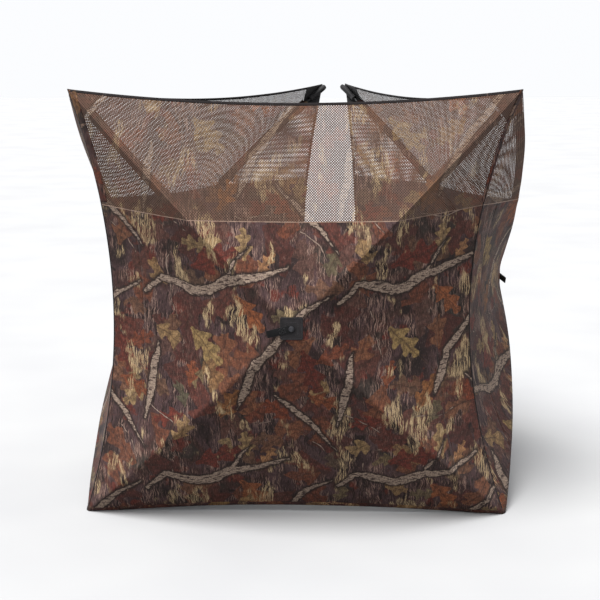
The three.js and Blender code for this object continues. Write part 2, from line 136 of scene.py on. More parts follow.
class Wall:
    """One wall: its place in the row frame and the surface that its sheet is stretched to."""

    def __init__(self, name, left, right, x, y, turn, print_shift):
        self.name, self.left, self.right = name, left, right
        self.x, self.y, self.turn = x, y, turn
        self.print_shift = print_shift
        self.body, self.hub = f"{name}_wall", f"{name}_hub"

    def side(self, end):
        return self.left if end < 0 else self.right

    def row(self, points):
        """Points of the wall's own coordinates (u, y, v) in the row frame."""
        u, y, v = np.atleast_2d(np.asarray(points, float)).T
        c, s = math.cos(self.turn), math.sin(self.turn)
        return np.stack([self.x + c * u - s * y, self.y + s * u + c * y, v + LIFT], axis=1)

    def corner(self, end, up):
        v = HEIGHT if up > 0 else 0.0
        return np.array([end * self.side(end).reach(v), v])

    def flat_corner(self, end, up):
        return np.array([end * FLAT, HUB_Z + up * FLAT])

    def hem(self, u, up):
        """Height of the top (up = 1) or bottom (up = -1) edge at u."""
        low, high = self.corner(-1, up)[0], self.corner(1, up)[0]
        share = (u - low) / (high - low)
        bend = 4 * share * (1 - share)
        return HEIGHT - TOP_DIP * bend if up > 0 else BOTTOM_RISE * bend

    def crease_side(self, u, v, end, up):
        """Signed distance from a crease, above zero towards the facet at that end of the wall."""
        c, f = self.corner(end, up), self.flat_corner(end, up)
        d = (f - c) / np.linalg.norm(f - c)
        return ((v - c[1]) * d[0] - (u - c[0]) * d[1]) * (end * up)

    def facet(self, u, v):
        """0 bottom, 1 right, 2 top, 3 left, 4 the flat square at the hub."""
        out = np.where(v > HUB_Z, 2, 0)
        for end, label in ((-1, 3), (1, 1)):
            inside = u * end > 0
            for up in (-1, 1):
                inside &= self.crease_side(u, v, end, up) > 0
            out[inside] = label
        out[(np.abs(u) <= FLAT) & (np.abs(v - HUB_Z) <= FLAT)] = 4
        return out

    def depth(self, u, v):
        """The sheet's y at (u, v)."""
        u, v = np.asarray(u, float), np.asarray(v, float)
        y = np.full(u.shape, -HUB_REACH)
        label = self.facet(u, v)
        for end, number in ((-1, 3), (1, 1)):
            m = label == number
            if m.any():
                y[m] = self._side_depth(u[m] * end, v[m], self.side(end))
        for up, number in ((-1, 0), (1, 2)):
            m = label == number
            if m.any():
                y[m] = self._level_depth(u[m], v[m], up)
        return y - self.slack(u, v)

    def _side_depth(self, x, v, side):
        def inward(s):
            edge = side.reach(s * HEIGHT)
            return (edge - x) / (edge - FLAT)

        def level(s):
            i = inward(s)
            return (1 - i) * s * HEIGHT + i * (HUB_Z + FLAT * (2 * s - 1))

        s = share_where(level, v)
        return self._bowed(side.depth(s * HEIGHT), s, inward(s))

    def _level_depth(self, u, v, up):
        z = HEIGHT if up > 0 else 0.0
        first, last = self.corner(-1, up)[0], self.corner(1, up)[0]

        def inward(s):
            edge = z + (-TOP_DIP if up > 0 else BOTTOM_RISE) * 4 * s * (1 - s)
            return (edge - v) / (edge - (HUB_Z + up * FLAT))

        def across(s):
            i = inward(s)
            return (1 - i) * (first + (last - first) * s) + i * FLAT * (2 * s - 1)

        s = share_where(across, u)
        start, end = self.left.depth(z), self.right.depth(z)
        return self._bowed(start + (end - start) * s, s, inward(s))

    @staticmethod
    def _bowed(outline, s, i):
        kept = SLACK + (1 - SLACK) * (2 * s - 1) ** 2
        return outline * (1 - i) - HUB_REACH * i - BOW * kept * 4 * i * (1 - i)

    def slack(self, u, v):
        """Small outward billows and puckers of real cloth, fading out at the hub."""
        phase = 1.7 * self.print_shift[0]
        fade = np.clip((np.hypot(u, v - HUB_Z) - FLAT) / 0.15, 0, 1)
        billow = BILLOW * np.sin(7.1 * u + phase) * np.sin(6.3 * v + 2 * phase + 0.8)
        billow += RIPPLE * np.sin(17 * u - 11 * v + phase) * np.sin(5 * u + 13 * v)
        below = (v - self.seam(u)) / 0.05
        pucker = PUCKER * np.sin(105 * u + 4 * np.sin(9 * u)) * np.exp(-(below**2))
        return fade * (billow + pucker)

    @staticmethod
    def seam(u):
        return SEAM_Z - SEAM_SAG * np.clip(1 - (u / HALF) ** 2, 0, 1)

    def lift(self, uv, offset=0.0):
        """Row-frame points of the sheet at (u, v), moved outwards by offset."""
        u, v = uv[:, 0], uv[:, 1]
        y = self.depth(u, v)
        e = 0.002
        du = (self.depth(u + e, v) - self.depth(u - e, v)) / (2 * e)
        dv = (self.depth(u, v + e) - self.depth(u, v - e)) / (2 * e)
        n = np.stack([du, -np.ones_like(du), dv], axis=1)
        n /= np.linalg.norm(n, axis=1)[:, None]
        p = np.stack([u, y, v], axis=1) + n * np.reshape(offset, (-1, 1))
        return self.row(p)


def side_wall(name, left, right, hinge, direction, turn, shift):
    x = hinge.x + HALF * math.cos(direction)
    y = hinge.y + HALF * math.sin(direction)
    return Wall(name, left, right, x, y, turn, shift)


middle = (left_hinge + right_hinge) / 2
FRONT = Wall("front", LEFT_SIDE, RIGHT_SIDE, middle.x, middle.y, 0.0, (0.0, 0.0))
LEFT = side_wall(
    "left", REAR_SIDE, LEFT_SIDE, left_hinge, LEFT_CORNER, LEFT_CORNER + math.pi, (0.37, 0.21)
)
right_turn = math.pi - RIGHT_CORNER
RIGHT = side_wall(
    "right", RIGHT_SIDE, REAR_SIDE, right_hinge, right_turn, right_turn, (0.18, 0.43)
)
WALLS = [FRONT, LEFT, RIGHT]
REAR_ENDS = [(LEFT, -1), (RIGHT, 1)]
# Each shared corner with its two walls and the end of each that meets there.
SHARED_ENDS = {"left_corner": [(FRONT, -1), (LEFT, 1)], "right_corner": [(FRONT, 1), (RIGHT, -1)]}


# ---- meshes
def split(points, faces, level):
    """Cuts faces along the line where level(points) is zero. Both sides stay."""
    values = level(points[:, 0], points[:, 1])
    sign = values > 0
    fresh, cuts, out = [], {}, []
    for f in faces:
        inside = [bool(sign[i]) for i in f]
        if all(inside) or not any(inside):
            out.append(f)
            continue
        above, below = [], []
        for i, j in zip(f, f[1:] + f[:1]):
            (above if sign[i] else below).append(i)
            if sign[i] != sign[j]:
                key = (min(i, j), max(i, j))
                if key not in cuts:
                    t = values[i] / (values[i] - values[j])
                    cuts[key] = len(points) + len(fresh)
                    fresh.append(points[i] + (points[j] - points[i]) * t)
                above.append(cuts[key])
                below.append(cuts[key])
        out += [above, below]
    if fresh:
        points = np.vstack([points, fresh])
    return points, out


def centres(points, faces):
    """The mean of each face's points."""
    sizes = np.array([len(f) for f in faces])
    starts = np.r_[0, np.cumsum(sizes)[:-1]]
    corners = np.fromiter((i for f in faces for i in f), int, sizes.sum())
    return np.add.reduceat(points[corners], starts, axis=0) / sizes[:, None]


def used(points, faces):
    """The points that faces use, and the faces renumbered."""
    order = {}
    for f in faces:
        for i in f:
            order.setdefault(i, len(order))
    return points[list(order)], [[order[i] for i in f] for f in faces]


def grid_faces(rows, columns, ring=False):
    """The squares between rows of points, each row a line of columns points or a ring of them."""
    faces = []
    for r in range(rows - 1):
        for c in range(columns if ring else columns - 1):
            here, beside = r * columns + c, r * columns + (c + 1) % columns
            faces.append([here, beside, beside + columns, here + columns])
    return faces


def cloth_grid(low, high, cell):
    us = np.linspace(low[0], high[0], int((high[0] - low[0]) / cell) + 1)
    vs = np.linspace(low[1], high[1], int((high[1] - low[1]) / cell) + 1)
    return np.array([(u, v) for v in vs for u in us]), grid_faces(len(vs), len(us))


def net_lattice(low, high):
    """A square net set on its corner: each mesh is four strands round a hole."""
    step = NET_PITCH * math.sqrt(0.5)
    nodes, points, faces = {}, [], []

    def node(i, j):
        if (i, j) not in nodes:
            nodes[i, j] = len(points)
            points.append((low[0] + (i - j) * step, low[1] + (i + j) * step))
        return nodes[i, j]

    reach = NET_HOLE * math.sqrt(0.5)
    columns = int((high[0] - low[0]) / (2 * step)) + 2
    rows = int((high[1] - low[1]) / step) + 2
    for r in range(rows):
        for c in range(columns):
            # (i - j) and (i + j) are this mesh's lowest corner, in steps from low
            across, up = 2 * c + r % 2, r
            i, j = (up + across) // 2, (up - across) // 2
            corners = [node(i, j), node(i + 1, j), node(i + 1, j + 1), node(i, j + 1)]
            x, y = low[0] + across * step, low[1] + (up + 1) * step
            hole = len(points)
            points.extend([(x, y - reach), (x + reach, y), (x, y + reach), (x - reach, y)])
            for k in range(4):
                n = (k + 1) % 4
                faces.append([corners[k], corners[n], hole + n, hole + k])
    return np.array(points), faces


def make_mesh(name, points, faces, uv, materials, indices=None):
    """A smooth mesh object. uv is its place on the flat cloth, kept as the attribute panel."""
    mesh = bpy.data.meshes.new(name)
    mesh.from_pydata([tuple(p) for p in points], [], [tuple(f) for f in faces])
    for m in materials:
        mesh.materials.append(m)
    if indices is not None:
        mesh.polygons.foreach_set("material_index", np.asarray(indices, np.int32))
    mesh.polygons.foreach_set("use_smooth", [True] * len(mesh.polygons))
    panel = mesh.attributes.new("panel", "FLOAT_VECTOR", "POINT")
    flat = np.zeros((len(points), 3), np.float32)
    flat[:, : uv.shape[1]] = uv
    panel.data.foreach_set("vector", flat.ravel())
    mesh.validate()
    mesh.update()
    obj = bpy.data.objects.new(name, mesh)
    bpy.context.scene.collection.objects.link(obj)
    return obj


def normals(points, faces):
    """Each point's normal, summed over its faces. A face's direction is that of its first four points."""
    out = np.zeros_like(points)
    for f in faces:
        a, b, c = points[f[0]], points[f[1]], points[f[2]]
        n = np.cross(b - a, c - a)
        if len(f) > 3:
            n = n + np.cross(c - a, points[f[3]] - a)
        for i in f:
            out[i] += n
    return out / np.maximum(np.linalg.norm(out, axis=1), 1e-12)[:, None]


def layered(points, faces, uv, thickness, outside, inside):
    """A sheet with a printed outer face, a plain inner one and a closed edge between them."""
    n = normals(points, faces)
    count = len(points)
    both = np.vstack([points, points - n * thickness])
    back = [[i + count for i in reversed(f)] for f in faces]
    sides = dict.fromkeys((i, j) for f in faces for i, j in zip(f, f[1:] + f[:1]))
    rim = [[j, i, i + count, j + count] for i, j in sides if (j, i) not in sides]
    index = [outside] * len(faces) + [inside] * (len(back) + len(rim))
    return both, faces + back + rim, np.vstack([uv, uv]), index


def sweep(path, across, out, profile):
    """A closed section carried along path. across and out are its two axes at each point, and
    profile is one section, or one for each point of path."""
    path, across, out = (np.asarray(x, float) for x in (path, across, out))
    sections = np.asarray(profile, float)
    if sections.ndim == 2:
        sections = np.repeat(sections[None], len(path), axis=0)
    n, k = len(path), sections.shape[1]
    points = path[:, None] + sections[:, :, :1] * across[:, None] + sections[:, :, 1:2] * out[:, None]
    faces = grid_faces(n, k, ring=True) + [list(reversed(range(k))), list(range((n - 1) * k, n * k))]
    run = np.r_[0, np.cumsum(np.linalg.norm(np.diff(path, axis=0), axis=1))]
    around = np.linspace(0, 1, k)
    uv = np.stack([np.repeat(run, k), np.tile(sections[0, :, 0], n), np.tile(around, n)], axis=1)
    return points.reshape(-1, 3), faces, uv


def unit(v):
    v = np.asarray(v, float)
    return v / np.maximum(np.linalg.norm(v, axis=-1, keepdims=True), 1e-12)


def tangents(path):
    return unit(np.gradient(np.asarray(path, float), axis=0))


def joined(parts):
    """Several (points, faces, uv) as one."""
    points, faces, uvs, count = [], [], [], 0
    for p, f, uv in parts:
        points.append(p)
        uvs.append(uv)
        faces += [[i + count for i in face] for face in f]
        count += len(p)
    return np.vstack(points), faces, np.vstack(uvs)


# ---- materials
class Graph:
    """Short ways to add nodes to a tree. Arguments are numbers, tuples or sockets."""

    def __init__(self, tree):
        self.tree = tree

    def add(self, kind, *inputs, named=None, **settings):
        node = self.tree.nodes.new(kind)
        for key, value in settings.items():
            setattr(node, key, value)
        for socket, value in zip(node.inputs, inputs):
            self.put(socket, value)
        for name, value in (named or {}).items():
            self.put(node.inputs[name], value)
        return node

    def put(self, socket, value):
        if isinstance(value, bpy.types.NodeSocket):
            self.tree.links.new(value, socket)
        elif value is not None:
            socket.default_value = value

    def math(self, operation, a, b=None, c=None, clamp=False):
        return self.add("ShaderNodeMath", a, b, c, operation=operation, use_clamp=clamp).outputs[0]

    def times(self, a, b):
        return self.math("MULTIPLY", a, b)

    def vector(self, operation, a, b=None, c=None):
        node = self.add("ShaderNodeVectorMath", a, b, c, operation=operation)
        return node.outputs["Value" if operation in ("DOT_PRODUCT", "LENGTH") else "Vector"]

    def scaled(self, vector, scale):
        named = {"Scale": scale}
        return self.add("ShaderNodeVectorMath", vector, named=named, operation="SCALE").outputs["Vector"]

    def turned(self, vector, angle):
        named = {"Vector": vector, "Angle": angle}
        return self.add("ShaderNodeVectorRotate", named=named, rotation_type="Z_AXIS").outputs[0]

    def mix(self, share, a, b, blend="MIX"):
        node = self.add("ShaderNodeMix", data_type="RGBA", blend_type=blend)
        for number, value in ((0, share), (6, a), (7, b)):
            self.put(node.inputs[number], value)
        return node.outputs[2]

    def noise(self, vector, scale, detail=3.0, rough=0.55):
        named = {"Vector": vector, "Scale": scale, "Detail": detail, "Roughness": rough}
        return self.add("ShaderNodeTexNoise", named=named, noise_dimensions="3D").outputs

    def fibres(self, vector, x, y, detail=3.0, rough=0.55):
        """Noise drawn out along one way: x and y are its scales."""
        return self.noise(self.vector("MULTIPLY", vector, (x, y, 1.0)), 1.0, detail, rough)[0]

    def step(self, value, low, high):
        """0 below low, 1 above high, smooth between; low may be above high."""
        ends = {"To Min": 1.0, "To Max": 0.0} if low > high else {"To Min": 0.0, "To Max": 1.0}
        named = {"Value": value, "From Min": min(low, high), "From Max": max(low, high), **ends}
        kind = "ShaderNodeMapRange"
        return self.add(kind, named=named, interpolation_type="SMOOTHSTEP").outputs["Result"]

    def ramp(self, value, *stops):
        node = self.add("ShaderNodeValToRGB", value)
        while len(node.color_ramp.elements) < len(stops):
            node.color_ramp.elements.new(0.5)
        for element, (at, colour) in zip(node.color_ramp.elements, stops):
            element.position, element.color = at, rgb(*colour)
        return node.outputs["Color"]

    def leaf(self, local):
        """The cover and the veins of a leaf at a place in its own frame."""
        leaf = self.add("ShaderNodeGroup", node_tree=LEAF)
        self.put(leaf.inputs[0], local)
        return leaf.outputs["Cover"], leaf.outputs["Vein"]


def rgb(r, g, b):
    """A display colour, 0 to 255, as the linear colour that shaders take."""

    def linear(c):
        c = c / 255
        return c / 12.92 if c <= 0.04045 else ((c + 0.055) / 1.055) ** 2.4

    return (linear(r), linear(g), linear(b), 1.0)


def group(name, outputs):
    """A node group that works from a place on the flat cloth."""
    tree = bpy.data.node_groups.new(name, "ShaderNodeTree")
    tree.interface.new_socket("Place", in_out="INPUT", socket_type="NodeSocketVector")
    for label, kind in outputs:
        tree.interface.new_socket(label, in_out="OUTPUT", socket_type=kind)
    g = Graph(tree)
    return g, g.add("NodeGroupInput").outputs["Place"], g.add("NodeGroupOutput").inputs


TILE = (0.66, 0.69)  # the print's repeat


def leaf_group():
    """One lobed leaf of length 2 along X at the origin: how much it covers, and its veins."""
    g, place, out = group("leaf", [("Cover", "NodeSocketFloat"), ("Vein", "NodeSocketFloat")])
    parts = g.add("ShaderNodeSeparateXYZ", place).outputs
    x, y = parts[0], g.math("ABSOLUTE", parts[1])
    taper = g.math("SQRT", g.math("MAXIMUM", g.math("SUBTRACT", 1.0, g.times(x, x)), 0.0))
    slant = g.math("ADD", g.times(x, 9.0), g.times(y, -5.5))
    lobes = g.math("MULTIPLY_ADD", g.math("SINE", slant), 0.30, 0.62)
    width = g.times(g.times(taper, lobes), 0.62)
    g.put(out["Cover"], g.step(g.math("SUBTRACT", width, y), -0.02, 0.03))
    rib = g.step(y, 0.05, 0.015)
    side = g.step(g.math("ABSOLUTE", g.math("SINE", g.times(slant, 0.5))), 0.22, 0.06)
    g.put(out["Vein"], g.math("MAXIMUM", rib, g.times(side, 0.6)))
    return g.tree


LEAF = leaf_group()


def scattered_leaves(g, place, scale, seed, share, size):
    """Leaves thrown over the cloth, one in some of the cells of a Voronoi pattern."""
    moved = g.vector("ADD", place, (seed * 0.71, seed * 0.37, 0.0))
    named = {"Vector": moved, "Scale": scale}
    cells = g.add("ShaderNodeTexVoronoi", named=named, voronoi_dimensions="2D").outputs
    pick = g.add("ShaderNodeSeparateColor", cells["Color"]).outputs
    local = g.turned(g.vector("SUBTRACT", moved, cells["Position"]), g.times(pick[0], 6.283))
    fit = g.math("MULTIPLY_ADD", pick[1], 0.5 * scale / size, 0.7 * scale / size)
    cover, vein = g.leaf(g.scaled(local, fit))
    return g.times(cover, g.step(pick[2], share + 0.01, share)), vein, pick[1]


def after(g, place, earlier):
    """place, found only once earlier is. A shader holds few values at a time, so that long lists
    of shapes are worked through in turn. What is added is far too small to see."""
    return g.vector("ADD", place, g.times(earlier, 1e-7))


def from_point(g, place, x, y):
    """The way from the nearest copy of a point of the print's tile."""
    away = g.vector("SUBTRACT", place, (x, y, 0.0))
    half = (TILE[0] / 2, TILE[1] / 2)
    return g.vector("WRAP", away, (*half, 1.0), (-half[0], -half[1], -1.0))


def placed_leaf(g, place, at, angle, length):
    """A leaf at one place of the print's tile."""
    return g.leaf(g.scaled(g.turned(from_point(g, place, *at), -math.radians(angle)), 2 / length))


def limb_distance(g, place, limbs):
    """Distance outside the nearest limb of the tile. A limb is (x, y, radius) points in turn."""
    nearest = None
    for limb in limbs:
        for (x0, y0, r0), (x1, y1, r1) in zip(limb, limb[1:]):
            dx, dy = x1 - x0, y1 - y0
            start = place if nearest is None else after(g, place, nearest)
            away = from_point(g, start, x0, y0)
            size = dx * dx + dy * dy
            along = g.vector("DOT_PRODUCT", away, (dx / size, dy / size, 0.0))
            along = g.math("ADD", along, 0.0, clamp=True)
            foot = g.scaled((dx, dy, 0.0), along)
            gap = g.vector("LENGTH", g.vector("SUBTRACT", away, foot))
            gap = g.math("SUBTRACT", gap, g.math("MULTIPLY_ADD", along, r1 - r0, r0))
            nearest = gap if nearest is None else g.math("MINIMUM", nearest, gap)
    return nearest


# The print's large leaves: place in the tile, turn in degrees, length and colour.
LEAVES = [
    ((0.402, 0.255), 20, 0.17, (112, 50, 40)),
    ((0.060, 0.590), -70, 0.16, (104, 46, 36)),
    ((0.502, 0.306), 95, 0.105, (168, 146, 104)),
    ((0.573, 0.252), 55, 0.080, (172, 132, 92)),
    ((0.522, 0.088), -48, 0.145, (152, 94, 58)),
    ((0.371, 0.652), -46, 0.150, (160, 140, 92)),
    ((0.321, 0.553), 80, 0.085, (142, 82, 54)),
    ((0.130, 0.640), 30, 0.110, (124, 70, 48)),
    ((0.105, 0.480), -20, 0.120, (134, 76, 46)),
    ((0.610, 0.440), 140, 0.120, (128, 66, 42)),
    ((0.450, 0.470), 60, 0.130, (150, 104, 62)),
    ((0.240, 0.400), 200, 0.110, (116, 52, 40)),
]

# Its limbs, as points in the tile of x, y and half thickness, from one end to the other.
LIMBS = [
    [(0.150, 0.121, 0.008), (0.214, 0.182, 0.011), (0.277, 0.164, 0.016), (0.335, 0.147, 0.018),
     (0.385, 0.153, 0.018), (0.440, 0.188, 0.017), (0.522, 0.204, 0.013), (0.640, 0.237, 0.005)],
    [(0.480, 0.455, 0.004), (0.498, 0.510, 0.014), (0.530, 0.594, 0.014), (0.623, 0.708, 0.011)],
    [(0.623, 0.708, 0.011), (0.700, 0.790, 0.010), (0.790, 0.840, 0.003)],
    [(-0.060, 0.500, 0.003), (0.000, 0.440, 0.009), (0.060, 0.385, 0.010), (0.150, 0.280, 0.002)],
    [(0.196, 0.640, 0.003), (0.188, 0.590, 0.012), (0.172, 0.490, 0.015), (0.150, 0.380, 0.004)],
    [(0.440, 0.188, 0.008), (0.470, 0.250, 0.006), (0.520, 0.300, 0.001)],
]

# Its twigs, the same way.
TWIGS = [
    [(0.298, 0.286, 0.0010), (0.257, 0.280, 0.0016), (0.237, 0.250, 0.0018), (0.238, 0.170, 0.0018),
     (0.250, 0.100, 0.0016), (0.277, 0.015, 0.0014), (0.291, -0.075, 0.0010)],
    [(0.030, 0.350, 0.0012), (0.090, 0.300, 0.0016), (0.120, 0.250, 0.0010)],
    [(0.420, 0.400, 0.0012), (0.500, 0.385, 0.0016), (0.590, 0.400, 0.0010)],
    [(0.150, 0.440, 0.0012), (0.240, 0.395, 0.0016), (0.300, 0.350, 0.0010)],
]

# Its leaf litter: cells a metre, seed, share of the cells with a leaf, size and three colours.
LITTER = [
    (9.0, 1.0, 0.42, 0.90, ((78, 42, 38), (104, 56, 46), (96, 72, 64))),
    (11.0, 4.0, 0.26, 0.80, ((116, 66, 46), (138, 94, 66), (94, 84, 70))),
    (13.0, 7.0, 0.15, 0.75, ((146, 116, 76), (170, 148, 104), (88, 92, 72))),
]


def worn_leaf(g, shade, vein, grain):
    """A leaf's colour with darker veins and blotches."""
    shade = g.mix(g.times(vein, 0.5), shade, rgb(52, 30, 24))
    return g.mix(g.step(grain, 0.62, 0.38), shade, g.mix(0.5, shade, rgb(22, 14, 13)))


def print_group():
    """The camouflage print, from places on the flat cloth in metres: bark, limbs and oak leaves."""
    g, place, out = group("woodland_print", [("Color", "NodeSocketColor")])
    centred = (0.5, 0.5, 0.5)
    wobble = g.noise(place, 9.0)["Color"]
    soft = g.vector("ADD", place, g.scaled(g.vector("SUBTRACT", wobble, centred), 0.035))
    grain, jag = g.noise(place, 60.0)[:2]
    rough = g.vector("ADD", soft, g.scaled(g.vector("SUBTRACT", jag, centred), 0.012))

    # The ground: broad dark patches of purple brown and green grey, with some rust.
    colour = g.ramp(
        g.noise(soft, 6.0, 2.0)[0],
        (0.30, (27, 24, 26)),
        (0.41, (52, 40, 43)),
        (0.49, (80, 64, 67)),
        (0.56, (66, 44, 42)),
        (0.64, (46, 46, 43)),
        (0.74, (74, 62, 60)),
    )
    blotch = g.noise(rough, 11.0, 4.0)[0]
    colour = g.mix(g.step(blotch, 0.57, 0.63), colour, rgb(98, 46, 38))
    colour = g.mix(g.step(blotch, 0.40, 0.34), colour, rgb(24, 20, 22))

    # Upright fibres of bark, light and dark, in drifts.
    streak = g.fibres(rough, 250.0, 17.0, 4.0, 0.65)
    drift = g.noise(g.vector("MULTIPLY", soft, (12.0, 6.0, 1.0)), 1.0)["Color"]
    drifts = g.add("ShaderNodeSeparateColor", drift).outputs
    light = g.times(g.step(drifts[0], 0.46, 0.56), g.step(streak, 0.50, 0.60))
    colour = g.mix(light, colour, rgb(152, 130, 118))
    dark = g.times(g.step(drifts[1], 0.40, 0.50), g.step(streak, 0.49, 0.41))
    colour = g.mix(dark, colour, rgb(16, 13, 15))

    # Leaf litter: dull rust leaves, then fewer tan ones, then the large ones.
    for scale, seed, share, size, shades in LITTER:
        cover, vein, pick = scattered_leaves(g, rough, scale, seed, share, size)
        rough = after(g, rough, cover)
        shade = g.ramp(pick, *zip((0.0, 0.5, 1.0), shades))
        colour = g.mix(g.times(cover, 0.8), colour, worn_leaf(g, shade, vein, grain))
    for at, angle, length, shade in LEAVES:
        cover, vein = placed_leaf(g, rough, at, angle, length)
        rough = after(g, rough, cover)
        colour = g.mix(g.times(cover, 0.92), colour, worn_leaf(g, rgb(*shade), vein, grain))

    # Ragged tufts of pale bark, then twigs, and limbs over everything with a shadow along each.
    tufts = g.times(g.step(drifts[2], 0.57, 0.62), g.step(streak, 0.46, 0.56))
    colour = g.mix(g.times(tufts, 0.9), colour, rgb(196, 180, 140))
    twigs = limb_distance(g, after(g, soft, tufts), TWIGS)
    colour = g.mix(g.step(twigs, 0.0035, 0.0005), colour, g.mix(0.6, colour, rgb(22, 18, 18)))
    colour = g.mix(g.step(twigs, 0.0010, -0.0002), colour, rgb(152, 138, 126))
    gap = limb_distance(g, after(g, rough, twigs), LIMBS)
    colour = g.mix(g.step(gap, 0.012, 0.002), colour, g.mix(0.7, colour, rgb(20, 17, 17)))
    colour = g.mix(g.step(gap, 0.004, 0.0005), colour, rgb(24, 20, 20))
    wood = g.ramp(
        g.fibres(rough, 45.0, 170.0),
        (0.36, (38, 32, 31)),
        (0.44, (104, 92, 85)),
        (0.52, (178, 166, 148)),
        (0.60, (140, 128, 118)),
        (0.72, (76, 66, 62)),
    )
    colour = g.mix(g.step(gap, 0.0006, -0.0025), colour, wood)

    # Fine fibres and smudges over all of it.
    fibre = g.fibres(place, 420.0, 60.0, 3.0, 0.7)
    colour = g.mix(g.step(fibre, 0.56, 0.40), colour, g.mix(0.45, colour, rgb(14, 11, 12)))
    colour = g.mix(g.step(fibre, 0.58, 0.70), colour, g.mix(0.30, colour, rgb(176, 156, 142)))
    smudge = g.noise(place, 240.0, 2.0)[0]
    colour = g.mix(g.step(smudge, 0.35, 0.65), g.mix(0.25, colour, rgb(16, 13, 14)), colour)
    g.put(out["Color"], colour)
    return g.tree


PRINT = print_group()


def material(name, roughness=0.7, metallic=0.0, specular=0.3, sheen=0.0):
    m = bpy.data.materials.new(name)
    m.use_nodes = True
    g = Graph(m.node_tree)
    bsdf = m.node_tree.nodes["Principled BSDF"].inputs
    g.put(bsdf["Roughness"], roughness)
    g.put(bsdf["Metallic"], metallic)
    g.put(bsdf["Specular IOR Level"], specular)
    g.put(bsdf["Sheen Weight"], sheen)
    g.put(bsdf["Sheen Roughness"], 0.5)
    return m, g, bsdf


def panel(g):
    return g.add("ShaderNodeAttribute", attribute_name="panel").outputs["Vector"]


def bump(g, bsdf, height, distance, strength):
    named = {"Height": height, "Distance": distance, "Strength": strength}
    g.put(bsdf["Normal"], g.add("ShaderNodeBump", named=named).outputs[0])


def weave(g, place, pitch):
    """Plain weave: crossing ridges of one pitch."""
    parts = g.add("ShaderNodeSeparateXYZ", g.scaled(place, math.pi / pitch)).outputs
    x, y = (g.math("ABSOLUTE", g.math("SINE", p)) for p in (parts[0], parts[1]))
    return g.math("MAXIMUM", g.times(x, 0.9), y)


def printed(name, gain, wash=0.06, pitch=0.0012):
    """Cloth with the woodland print on it. gain makes the print lighter or darker, and wash is how
    much of a plain tan it fades to."""
    m, g, bsdf = material(name, 0.75, specular=0.10, sheen=0.02)
    place = panel(g)
    node = g.add("ShaderNodeGroup", node_tree=PRINT)
    g.put(node.inputs[0], place)
    faded = g.times(g.math("ADD", g.noise(place, 3.1, 2.0)[0], 0.5), wash)
    colour = g.mix(faded, node.outputs["Color"], rgb(124, 104, 92))
    g.put(bsdf["Base Color"], g.mix(1.0, colour, (*gain, 1.0), "MULTIPLY"))
    bump(g, bsdf, weave(g, place, pitch), 0.0002, 0.5)
    return m


def dyed(name, colour, second, pitch, roughness, ribs=False, specular=0.3):
    """Plain dyed cloth or webbing, with its weave or ribs and some wear."""
    m, g, bsdf = material(name, roughness, specular=specular, sheen=0.1)
    place = panel(g)
    wear = g.noise(place, 38.0, 4.0)[0]
    g.put(bsdf["Base Color"], g.ramp(wear, (0.35, colour), (0.72, second)))
    if ribs:
        part = g.add("ShaderNodeSeparateXYZ", g.scaled(place, 2 * math.pi / pitch)).outputs
        height = g.math("ADD", g.math("SINE", part[1]), g.times(g.math("SINE", part[0]), 0.6))
    else:
        height = weave(g, place, pitch)
    bump(g, bsdf, height, 0.0003, 0.6)
    return m


def moulded(name, colour, second, roughness, metallic=0.0, scale=900.0):
    """Hard parts: fine grain over broader wear, read from the part's own place."""
    m, g, bsdf = material(name, roughness, metallic, specular=0.5)
    place = g.add("ShaderNodeTexCoord").outputs["Object"]
    wear = g.noise(place, 42.0, 5.0)[0]
    g.put(bsdf["Base Color"], g.ramp(wear, (0.4, colour), (0.75, second)))
    g.put(bsdf["Roughness"], g.math("MULTIPLY_ADD", wear, 0.3, roughness - 0.12))
    bump(g, bsdf, g.noise(place, scale, 2.0)[0], 0.0002, 0.35)
    return m


CLOTH = printed("camouflage_cloth", (0.66, 0.58, 0.56))
NET = printed("camouflage_netting", (0.60, 0.52, 0.47), wash=0.45)
SLEEVE = printed("sleeve_cloth", (0.26, 0.21, 0.19))
EDGE = printed("edge_cloth", (0.55, 0.42, 0.38))
CORNER_PRINT = printed("corner_print", (0.4, 0.4, 0.42))
INSIDE = dyed("black_coating", (9, 9, 10), (17, 17, 19), 0.0012, 0.62)
TAPE = dyed("binding_tape", (16, 12, 12), (30, 24, 24), 0.0016, 0.8, ribs=True, specular=0.1)
POCKET = dyed("corner_cloth", (13, 12, 13), (31, 29, 31), 0.0018, 0.7)
WEBBING = dyed("black_webbing", (5, 5, 6), (14, 14, 15), 0.0022, 0.75, ribs=True, specular=0.1)
PATCH = dyed("hub_patch_cloth", (20, 18, 19), (32, 29, 31), 0.0014, 0.6, specular=0.15)
THREAD = dyed("seam_thread", (92, 74, 63), (124, 103, 90), 0.0012, 0.8, specular=0.1)
BLACK_THREAD = dyed("black_thread", (22, 22, 24), (44, 44, 48), 0.0008, 0.5)
FIBREGLASS = moulded("fibreglass", (10, 10, 11), (28, 28, 30), 0.34, scale=300.0)
HUB_PLASTIC = moulded("hub_plastic", (12, 12, 13), (30, 30, 33), 0.5)
STEEL = moulded("steel", (34, 34, 36), (84, 84, 88), 0.42, metallic=1.0, scale=500.0)


# ---- sheets
def placed(piece):
    return piece


